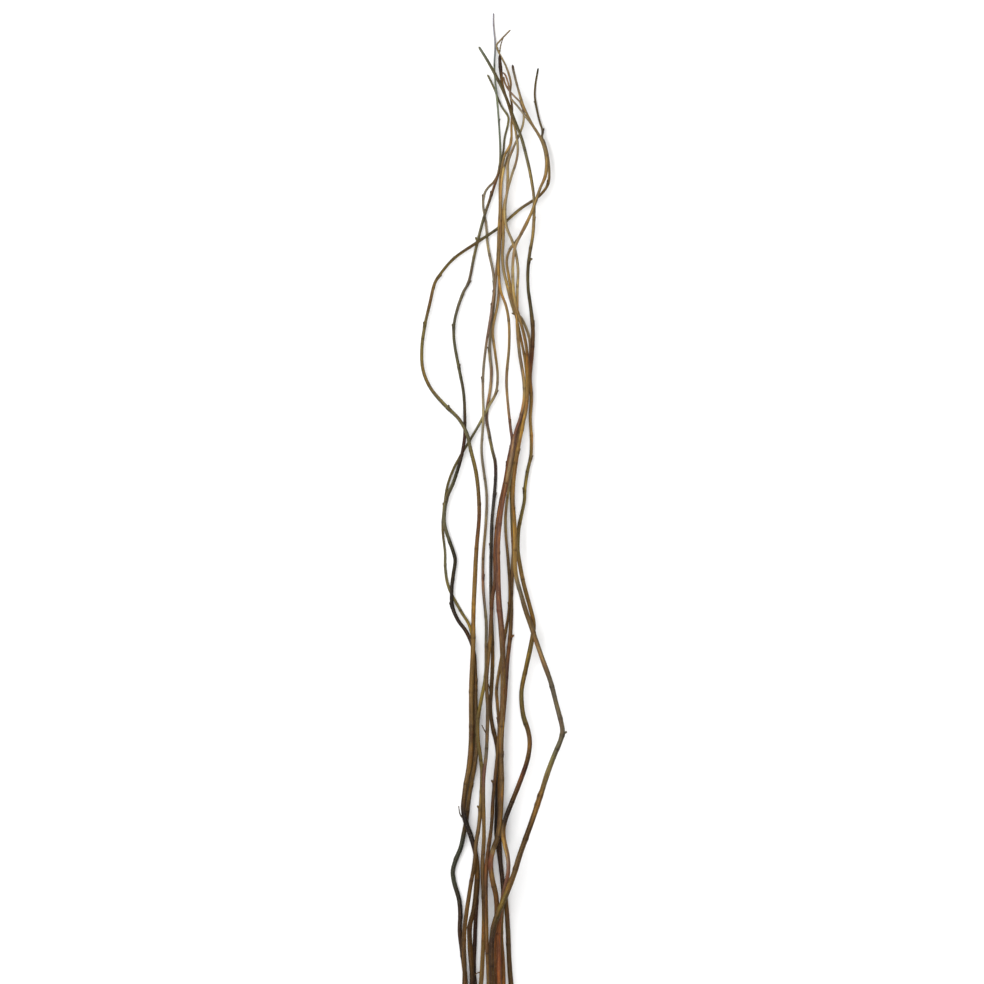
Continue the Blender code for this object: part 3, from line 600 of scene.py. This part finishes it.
# stem_02: a thin shoot that bows out to the left in its middle and back under the others. Its bark
# is dark maroon low down, olive in its middle and tan above.
make_stem(
    "stem_02", seed=2,
    bends=[
        (-20, -606), (-23.7, -570), (-22.8, -532), (-21, -490), (-19, -446), (-22.3, -419),
        (-28.3, -398), (-33.5, -381), (-34, -362), (-29, -329), (-23.7, -292), (-23.5, -262),
        (-25.3, -220), (-24.6, -175), (-28.5, -140), (-41, -118), (-56, -88), (-59.8, -66),
        (-60.2, -46), (-63.2, -15), (-61, 12), (-56.7, 39), (-48.7, 60.5), (-38, 79.7),
        (-20.2, 109.6), (-5.3, 137.5), (3.5, 154), (5.7, 176), (3.2, 200), (-0.3, 233), (5.5, 264),
        (7.9, 290), (7.2, 318), (9.5, 350), (10.6, 375), (9.8, 398), (12, 427), (20, 457),
        (22.7, 475),
    ],
    girth=[
        (-600, 5.2), (-300, 4.6), (-120, 3.8), (-50, 3.2), (60, 3.2), (160, 3.4), (300, 3.3),
        (475, 2.5),
    ],
    tones=[
        (-600, "dark umber"), (-450, "dark maroon"), (-350, "umber"), (-220, "olive brown"),
        (-130, "olive"), (-60, "grey olive"), (60, "olive"), (110, "grey olive"),
        (160, "grey tan"), (200, "gold"), (290, "tan"), (400, "tan"), (475, "grey tan"),
    ],
    spurs=[
        ("bud", -23.5, -275, -70), ("bud", -61, 12, -80), ("bud", 3.5, 154, 60),
    ],
)

# stem_03: the longest shoot, with two bows to the left and the topmost tip. Its bark is dark brown
# and green-black below, grey-green above, with many buds and a stub where a twig was cut.
make_stem(
    "stem_03", seed=3,
    bends=[
        (-32, -612), (-35, -575), (-39, -543), (-41.5, -520), (-41, -497), (-42.5, -480),
        (-49, -457), (-50.3, -444), (-46.5, -430), (-40.5, -415), (-36.5, -397), (-33.3, -380),
        (-29, -345), (-22.5, -309), (-19.7, -280), (-21.5, -235), (-22.3, -195), (-24.5, -168),
        (-33, -145.5), (-44, -130), (-51, -113), (-51.7, -92), (-49.8, -74), (-47.4, -55),
        (-50.4, -43), (-54.6, -31), (-61, -8), (-57.9, 22), (-50, 41), (-41.5, 67), (-36, 94),
        (-35.2, 120), (-37, 155), (-42.5, 184), (-49, 223), (-48, 245), (-37.6, 279), (-30.8, 292),
        (-23.3, 327), (-11.5, 373), (-2, 402), (7.5, 433), (9.2, 450), (6.8, 500), (1.8, 560),
        (2.6, 590), (0.6, 615), (0.6, 630),
    ],
    girth=[
        (-600, 5.8), (-400, 5.8), (-250, 5), (-120, 4.7), (40, 4.6), (130, 4), (250, 3.8),
        (400, 3.6), (480, 2.7), (560, 2.5), (630, 2.1),
    ],
    tones=[
        (-600, "umber"), (-530, "dark umber"), (-490, "black brown"), (-460, "green black"),
        (-405, "green black"), (-385, "umber"), (-340, "brown"), (-200, "umber"),
        (-130, "black brown"), (-42, "olive black"), (-8, "grey olive"), (20, "grey olive"),
        (55, "olive black"), (100, "dark maroon"), (150, "dark olive"), (240, "grey olive"),
        (290, "slate brown"), (370, "grey olive"), (415, "chestnut"), (445, "grey olive"),
        (480, "grey green"), (560, "grey green"), (600, "pale grey"), (630, "pale grey"),
    ],
    spurs=[
        ("bud", -3, 402, -70), ("stub", -18.5, 345, -75), ("bud", -31, 291, 75),
        ("bud", -49, 236, -80), ("bud", -42.5, 186, 70), ("bud", -51.5, -112, -80),
        ("bud", -22, -208, 65), ("bud", -28.5, -338, 70),
    ],
)

# stem_04: the shoot with the wide loop out to the left, which crosses to the right near its tip.
# Brown bark, near black where a hooked twig stands low down, turns olive in the loop.
make_stem(
    "stem_04", seed=4,
    bends=[
        (-26, -614), (-26.5, -572), (-29, -535), (-29, -513), (-24, -492), (-21, -466),
        (-19.7, -444), (-22, -422), (-28.7, -397), (-34.5, -381), (-37.2, -366), (-35.5, -345),
        (-29.5, -308), (-27.5, -280), (-27.2, -215), (-25, -165), (-24.4, -120), (-22.7, -80),
        (-20.3, -36), (-17.3, 0), (-18.3, 30), (-21.3, 55), (-27.7, 82), (-33, 104), (-42.5, 121),
        (-60.3, 138.7), (-78.6, 160.8), (-87.6, 183), (-89, 209), (-85.5, 237), (-79, 266),
        (-73, 291), (-67.8, 300), (-49, 322), (-20.3, 342), (5.5, 359.5), (34, 384), (58.5, 401),
        (69, 416), (69.5, 443), (65, 465), (61.3, 474), (62, 481), (57.3, 498), (52.4, 524),
        (52.8, 538), (56.5, 561),
    ],
    girth=[
        (-600, 6.2), (-400, 6), (-100, 5.6), (0, 4.9), (100, 4.6), (220, 4.1), (350, 3.6),
        (410, 3.5), (500, 2.7), (561, 2.3),
    ],
    tones=[
        (-600, "dark umber"), (-520, "umber"), (-480, "umber"), (-430, "umber"),
        (-405, "black brown"), (-372, "black brown"), (-355, "umber"), (-330, "brown"),
        (-250, "brown"), (-170, "golden brown"), (-60, "golden brown"), (-10, "chestnut"),
        (20, "brown"), (60, "olive brown"), (105, "grey olive"), (150, "grey olive"),
        (180, "olive"), (240, "olive"), (275, "brown"), (300, "olive brown"), (340, "olive brown"),
        (365, "grey olive"), (405, "brown"), (430, "tan"), (480, "slate brown"),
        (540, "olive brown"), (561, "olive black"),
    ],
    spurs=[
        ("bud", -68.5, 299, 80), ("bud", -86, 238, -75), ("bud", 69, 416, -60),
        ("bud", 62, 481, 75), ("bud", -27.3, -263, 75), ("stub", -55, 133, 50),
    ],
    twigs=[
        ([(-35.5, -380), (-41, -373), (-43, -362)], 2),
    ],
)

# stem_05: a shoot along the left of the bunch, brown and olive below its middle and tan above,
# with a hooked tip and a small twig there.
make_stem(
    "stem_05", seed=5,
    bends=[
        (-37, -622), (-35.5, -575), (-36.2, -525), (-33, -494), (-28.7, -465), (-23.5, -435),
        (-21, -408), (-17.5, -385), (-15, -355), (-13.9, -320), (-15.7, -302), (-19, -276),
        (-18.5, -252), (-14, -226), (-9.3, -200), (-8.7, -165), (-8.6, -133), (-12.3, -90),
        (-12.3, -52), (-8.7, -5), (-8.1, 28), (-14.2, 80), (-12.1, 121), (-12.6, 172), (-9, 211),
        (-2, 255), (2, 286), (6, 325), (7, 357), (8.6, 385), (9, 420), (14.5, 450), (22.3, 467),
        (23, 488), (23.8, 510), (21.4, 530), (22.3, 541), (16.7, 561), (7, 580), (4.3, 588),
        (9, 594.5), (22, 608),
    ],
    girth=[
        (-600, 5.6), (-450, 5), (-226, 4.4), (-100, 3.6), (30, 3.3), (150, 3.3), (300, 3.5),
        (450, 3.2), (560, 2.5), (608, 2.1),
    ],
    tones=[
        (-600, "umber"), (-440, "umber"), (-390, "brown"), (-300, "olive"), (-210, "olive"),
        (-168, "slate brown"), (-120, "slate brown"), (-78, "rosy tan"), (-33, "tan"),
        (12, "grey tan"), (190, "grey tan"), (237, "rosy tan"), (330, "tan"), (417, "gold"),
        (462, "tan"), (507, "brown"), (552, "pale tan"), (608, "grey tan"),
    ],
    spurs=[
        ("bud", -12.5, 170, -70), ("bud", -1, 262, -60), ("bud", -12.3, -78, 60),
        ("stub", -16, -367, -70),
    ],
    twigs=[
        ([(8, 578), (10, 590), (14, 600)], 5),
    ],
)

# stem_06: a shoot in the heart of the bunch, the shortest of them, with two side twigs low down.
# Its bark is brown and maroon below and tan above.
make_stem(
    "stem_06", seed=6,
    bends=[
        (-17, -612), (-13.8, -568), (-11.8, -525), (-11.6, -480), (-13, -435), (-11.3, -402),
        (-11.9, -360), (-11.5, -325), (-8.5, -298), (-7.2, -272), (-6.7, -240), (-7.8, -204),
        (-4.5, -165), (-2.3, -128), (-0.8, -104), (2.5, -82), (2.5, -48), (4.9, -13), (9.5, 18),
        (15.8, 48), (19.7, 73), (24, 95), (22.2, 108), (18, 148), (17, 172), (20.3, 215),
        (19.6, 245), (15.8, 264), (9.7, 281), (7.4, 302), (6.9, 320), (9.8, 358), (10, 395),
        (11, 418), (14, 437),
    ],
    girth=[
        (-600, 5.6), (-402, 5), (-280, 4.6), (-200, 4.6), (-50, 4.8), (50, 4.2), (110, 3.7),
        (250, 3.6), (340, 3.2), (437, 2.6),
    ],
    tones=[
        (-600, "brown"), (-570, "golden brown"), (-480, "umber"), (-430, "brown"),
        (-390, "golden brown"), (-350, "brown"), (-330, "maroon"), (-316, "maroon"),
        (-300, "slate brown"), (-215, "brown"), (-168, "brown"), (-78, "chestnut"),
        (57, "chestnut"), (102, "rosy tan"), (192, "tan"), (300, "gold"), (372, "tan"),
        (437, "pale tan"),
    ],
    spurs=[
        ("bud", 18.3, 64, -75), ("bud", 23.5, 98, 70),
    ],
    twigs=[
        ([(-7.2, -274), (-10.5, -268), (-14, -261)], 3),
        ([(-14, -571), (-19, -571), (-23, -574)], 2),
    ],
)

# stem_07: a shoot that kinks sharply back to the left at a joint, three quarters of the way up.
# Its bark is brown below, olive in its middle and tan above.
make_stem(
    "stem_07", seed=7,
    bends=[
        (13.5, -606), (12.6, -560), (10.2, -524), (11.4, -490), (12.6, -467), (9.8, -436),
        (8.2, -400), (8.3, -350), (9, -302), (11, -273), (15, -228), (18, -183), (21.3, -153),
        (22.8, -125), (22.8, -95), (24.3, -68), (25.4, -43), (24.2, -13), (23.5, 15), (24, 45),
        (27.5, 72), (31.5, 98), (37.5, 119), (42.3, 145), (45, 173), (46.5, 200), (45.5, 222),
        (38, 243), (33, 250), (28, 252.5), (24.3, 262), (18.5, 285), (13.5, 307), (11.7, 325),
        (12.9, 342), (13, 368), (14.3, 388), (17.6, 405), (18.4, 425), (19, 442), (25.5, 460),
        (33.5, 478), (38, 492), (38, 506), (34, 517), (28, 523.3), (20, 532), (15, 541),
        (13.3, 549),
    ],
    girth=[
        (-600, 5.4), (-400, 5.2), (-150, 5), (-50, 4.8), (50, 4.4), (170, 4.2), (235, 3.4),
        (400, 3.6), (440, 3.3), (490, 2.7), (549, 2.2),
    ],
    tones=[
        (-600, "rust"), (-520, "golden brown"), (-490, "olive brown"), (-465, "dark umber"),
        (-393, "dark umber"), (-350, "umber"), (-303, "golden brown"), (-213, "maroon"),
        (-123, "brown"), (-33, "tan"), (12, "olive"), (100, "golden brown"), (192, "maroon"),
        (237, "pale tan"), (327, "tan"), (372, "gold"), (417, "pale tan"), (490, "grey tan"),
        (549, "rosy tan"),
    ],
    spurs=[
        ("stub", 21.5, -153, 70), ("bud", 28, 252.5, -70),
    ],
)

# stem_08: a thin shoot whose tip arches over to the left. Its bark is brown below its middle and
# tan above.
make_stem(
    "stem_08", seed=8,
    bends=[
        (-6, -618), (-5.7, -580), (-7.7, -530), (-8.8, -475), (-8.2, -437), (-5.2, -412),
        (-2, -388), (0.5, -348), (5, -302), (7.5, -265), (5.5, -236), (4.4, -218), (8.8, -187),
        (15, -150), (20, -118), (21, -90), (18.8, -55), (16, -22), (15.8, 2), (19, 30), (25.3, 66),
        (30.7, 102), (39, 132), (42.3, 165), (40, 195), (33.5, 228), (26, 265), (19.5, 300),
        (17.2, 318), (20.5, 331.5), (32, 347.5), (42.7, 366), (51.2, 388), (58.5, 409),
        (64.5, 424), (66.2, 443), (61.8, 465), (53, 482), (41.5, 498), (31, 511.5), (22, 522.5),
        (20.8, 531), (18, 544), (14.5, 552), (11.5, 553.8), (9, 549),
    ],
    girth=[
        (-600, 5.2), (-400, 4.8), (-250, 4), (-100, 3.8), (-30, 3.7), (100, 3.5), (350, 3.5),
        (430, 3.1), (511, 2.6), (554, 2.1),
    ],
    tones=[
        (-600, "golden brown"), (-573, "brown"), (-528, "brown"), (-483, "umber"),
        (-438, "chestnut"), (-393, "umber"), (-348, "umber"), (-258, "brown"),
        (-168, "golden brown"), (-123, "umber"), (-60, "brown"), (-20, "tan"), (30, "pale tan"),
        (65, "tan"), (90, "rosy tan"), (120, "gold"), (192, "tan"), (282, "gold"), (327, "tan"),
        (507, "grey tan"), (549, "rosy tan"),
    ],
    spurs=[
        ("bud", 7, -256, -60), ("stub", 2, -334, -70), ("bud", 38.5, 131, 70),
    ],
)

# stem_09: the thickest shoot in the middle of the bunch, with a swollen dark tip. Its bark is rust
# at the butt, then brown and maroon, and tan above.
make_stem(
    "stem_09", seed=9,
    bends=[
        (4, -610), (3.2, -568), (3, -530), (4.7, -495), (4, -476), (-1, -452), (-2.8, -438),
        (-2.2, -427), (0.8, -415), (4.8, -404), (7.6, -391), (9.2, -374), (10.4, -352),
        (10.9, -330), (10.2, -295), (11, -262), (12.5, -220), (12.3, -175), (10.2, -137),
        (7.2, -105), (6.2, -68), (6.3, -35), (9.3, -2), (14.3, 28), (22, 68), (28, 103),
        (34.8, 124), (39, 147), (38.3, 170), (33, 205), (30.4, 238), (30.4, 283), (31.3, 308),
        (28, 331), (23.8, 344), (17.5, 360), (15, 380), (17.4, 403), (22.6, 423), (29.2, 444),
        (31, 458), (28.5, 480), (21, 508), (12, 538), (10, 553), (8.8, 566), (8.2, 576),
    ],
    girth=[
        (-600, 6.2), (-430, 6.3), (-300, 6), (-120, 7.2), (-60, 6), (0, 5), (100, 4.4), (240, 4),
        (300, 3.4), (400, 3.4), (450, 3), (530, 3.2), (560, 4.5), (576, 3.5),
    ],
    tones=[
        (-600, "umber"), (-530, "rust"), (-470, "umber"), (-445, "brown"), (-438, "maroon"),
        (-424, "maroon"), (-418, "tan"), (-413, "umber"), (-390, "brown"), (-348, "brown"),
        (-300, "brown"), (-258, "brown"), (-168, "brown"), (-123, "maroon"), (10, "maroon"),
        (35, "chestnut"), (48, "tan"), (92, "rosy tan"), (104, "maroon"), (118, "maroon"),
        (147, "tan"), (192, "grey tan"), (237, "gold"), (282, "pale tan"), (417, "pale tan"),
        (462, "grey tan"), (507, "brown"), (540, "brown"), (556, "dark umber"),
        (576, "dark umber"),
    ],
    spurs=[
        ("bud", 10.3, -298, 70),
    ],
)

# stem_10: a shoot that winds along the right of the bunch. Its bark changes often: rust, maroon,
# nearly black, olive and gold, with a pale collar low down.
make_stem(
    "stem_10", seed=10,
    bends=[
        (8, -620), (7.2, -555), (7.2, -515), (10, -488), (14.5, -466), (18.3, -449), (19.2, -436),
        (17.9, -423), (14.8, -410), (12.8, -400), (12.8, -390), (15.3, -379), (25.9, -351.5),
        (36.7, -324), (43.4, -303), (45.9, -284), (44, -269), (37.7, -249), (35.4, -226),
        (36.2, -214), (41.2, -190), (46.3, -167), (50.3, -145), (50.6, -133), (46.5, -115),
        (38.4, -85), (33.8, -62), (31, -42), (32, -17), (36.3, 5), (39.3, 20), (39.7, 33),
        (43, 56), (47.2, 75), (48, 95), (46.6, 122), (48, 150), (46.4, 171), (48.8, 205),
        (49.9, 230), (47.6, 257), (44.1, 283), (43.5, 305), (45.8, 328), (49.6, 350), (51.2, 375),
        (51, 398), (47, 425), (41.5, 450), (35.2, 473), (26.5, 495), (15.3, 525), (6, 545),
        (-5, 565), (-18, 586),
    ],
    girth=[
        (-600, 6), (-430, 5.4), (-365, 6.2), (-300, 5.8), (-225, 5.8), (-150, 5.5), (-73, 5.2),
        (0, 4.6), (60, 4.1), (120, 4.1), (200, 4.8), (245, 4.9), (280, 4.2), (340, 4), (400, 3.9),
        (470, 3.8), (550, 3.9), (586, 3.4),
    ],
    tones=[
        (-600, "chestnut"), (-560, "red rust"), (-490, "chestnut"), (-450, "maroon"),
        (-435, "rosy tan"), (-415, "tan"), (-400, "brown"), (-380, "black brown"),
        (-368, "black brown"), (-348, "umber"), (-328, "chestnut"), (-316, "dark maroon"),
        (-303, "umber"), (-280, "brown"), (-258, "olive brown"), (-168, "olive brown"),
        (-123, "golden brown"), (-78, "gold"), (-33, "olive"), (57, "olive"), (110, "gold"),
        (147, "gold"), (192, "chestnut"), (237, "umber"), (265, "dark olive"), (310, "dark olive"),
        (372, "tan"), (462, "grey olive"), (507, "olive brown"), (558, "grey olive"),
        (586, "grey green"),
    ],
    spurs=[
        ("stub", 44.5, 318, 70), ("bud", 49.5, 240, 75), ("bud", 46.8, 72, 70),
        ("bud", 39.7, 31, -70),
    ],
)

# stem_11: the uppermost and stoutest shoot, with the sharp elbow out to the right, where a stub
# stands. Olive and brown by turns, gold and pale tan past the elbow, with a dark tip.
make_stem(
    "stem_11", seed=11,
    bends=[
        (-1, -624), (-1.6, -575), (-1.6, -532), (1, -511), (8, -491), (18, -468), (26, -447),
        (33, -424), (41.2, -401), (49, -379.5), (59.3, -349), (69.6, -317), (77.2, -297.5),
        (84.8, -279), (86.8, -269), (85, -257), (79.3, -235), (72.2, -208), (61.6, -178),
        (49.6, -143.5), (41.8, -121), (34.8, -97), (29.2, -76), (27.4, -60), (28, -32), (26.5, -4),
        (24.8, 18), (25.5, 40), (29.2, 70), (33.3, 94), (38, 117), (42, 138), (43.3, 165),
        (43, 192), (41.3, 214), (36, 237), (30, 257), (26, 277), (24.7, 300), (25.3, 322),
        (28, 337), (35, 352), (48.7, 380), (59.3, 410), (65.5, 424), (67.8, 441), (66, 456),
        (59.5, 472), (49, 489), (38.8, 510), (31, 535), (25.5, 557), (24.4, 564),
    ],
    girth=[
        (-600, 6.4), (-424, 7), (-340, 6.6), (-290, 6.4), (-245, 5.7), (-180, 6.2), (-100, 5.6),
        (0, 5), (100, 4.4), (214, 3.9), (330, 3.8), (410, 3.7), (490, 3.3), (535, 3), (564, 3.4),
    ],
    tones=[
        (-600, "umber"), (-528, "dark umber"), (-483, "olive brown"), (-438, "brown"),
        (-393, "umber"), (-348, "brown"), (-303, "grey olive"), (-258, "slate brown"),
        (-213, "slate brown"), (-168, "tan"), (-123, "brown"), (-86, "slate brown"), (-68, "gold"),
        (-33, "gold"), (12, "golden brown"), (60, "golden brown"), (85, "gold"), (147, "gold"),
        (192, "golden brown"), (237, "brown"), (282, "pale tan"), (330, "pale tan"), (372, "tan"),
        (507, "tan"), (550, "grey tan"), (564, "dark maroon"),
    ],
    spurs=[
        ("stub", 86.5, -273, 80), ("bud", 59.3, -349, -70), ("bud", 31, 80, 70),
    ],
)

# The floor: a plain white table top under the lying bunch, wide enough to fill every view.
FLOOR_REACH = 4.0
floor_corners = np.array([(-1, -1), (1, -1), (1, 1), (-1, 1)]) * FLOOR_REACH
floor_mesh = bpy.data.meshes.new("floor")
floor_mesh.from_pydata([(x, y, -0.0003) for x, y in floor_corners], [], [(0, 1, 2, 3)])
floor = bpy.data.objects.new("floor", floor_mesh)
bpy.context.scene.collection.objects.link(floor)
floor_paint = bpy.data.materials.new("white table")
floor_paint.use_nodes = True
floor_shader = floor_paint.node_tree.nodes["Principled BSDF"]
floor_shader.inputs["Base Color"].default_value = (0.86, 0.86, 0.86, 1)
floor_shader.inputs["Roughness"].default_value = 0.9
floor_shader.inputs["Specular IOR Level"].default_value = 0.1
floor.data.materials.append(floor_paint)

# The light: a white room all round, and one large soft panel overhead, a little to the left.
room = bpy.data.worlds.new("white room")
bpy.context.scene.world = room
room.use_nodes = True
room.node_tree.nodes["Background"].inputs["Color"].default_value = (1, 1, 1, 1)
room.node_tree.nodes["Background"].inputs["Strength"].default_value = 0.42
panel = bpy.data.lights.new("panel", "AREA")
panel.shape = "SQUARE"
panel.size = 3.0
panel.energy = 125.0
panel_object = bpy.data.objects.new("panel", panel)
bpy.context.scene.collection.objects.link(panel_object)
panel_object.location = (-0.7, 0.3, 2.6)
panel_object.rotation_euler = (Vector((0, 0, 0)) - panel_object.location).to_track_quat(
    "-Z", "Y").to_euler()

# The camera: straight over the bunch, with the butts at the bottom of the picture, through a long
# lens that takes in a square of VIEW_WIDTH at the height of the stems.
VIEW_WIDTH = 1.230
VIEW_CENTRE = (-0.00125, 0.030)
VIEW_HEIGHT = 0.018  # of the plane in which VIEW_WIDTH is measured
VIEW_DISTANCE = 10.0
camera = bpy.data.cameras.new("camera")
camera.sensor_width = 36.0
camera.lens = camera.sensor_width * VIEW_DISTANCE / VIEW_WIDTH
camera.clip_end = 100.0
camera_object = bpy.data.objects.new("camera", camera)
bpy.context.scene.collection.objects.link(camera_object)
camera_object.location = (*VIEW_CENTRE, VIEW_HEIGHT + VIEW_DISTANCE)
camera_object.rotation_euler = (0, 0, 0)
bpy.context.scene.camera = camera_object
bpy.context.scene.view_settings.view_transform = "Standard"
